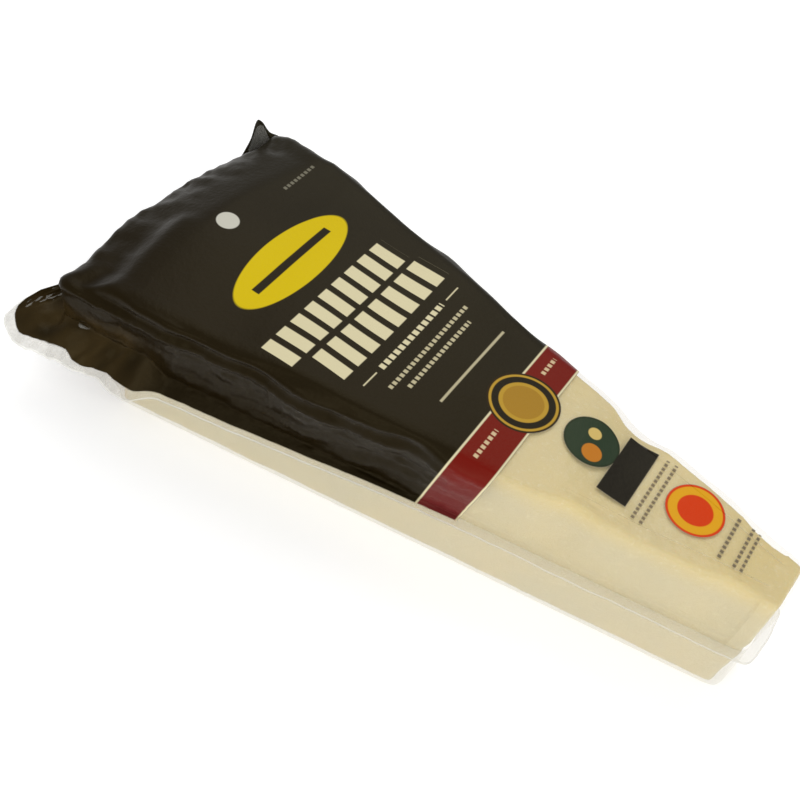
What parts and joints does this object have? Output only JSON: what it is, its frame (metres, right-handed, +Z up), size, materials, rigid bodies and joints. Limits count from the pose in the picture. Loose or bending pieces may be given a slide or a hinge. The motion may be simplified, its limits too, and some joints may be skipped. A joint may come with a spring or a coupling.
{
  "type": "vacuum-packed hard cheese wedge",
  "caption": "Wedge of pale hard cheese lying flat in a shut vacuum pack: dark printed top film, red band, clear lower film and seal flange.",
  "frame": {"origin": "middle of the overall box in plan, on the surface the pack rests on", "axes": "+Z up, +X from the wide rind end towards the narrow tip, +Y across the wedge"},
  "size_m": [0.2042, 0.1062, 0.0423],
  "materials": {
    "printed_film": "satin film printed brown-black, with a dark red band",
    "clear_film": "thin clear glossy film",
    "cheese": "pale granular hard cheese, satin where the film presses on it"
  },
  "bodies": {
    "root": {"cheese_pack": "printed_film"}
  },
  "joints": []
}
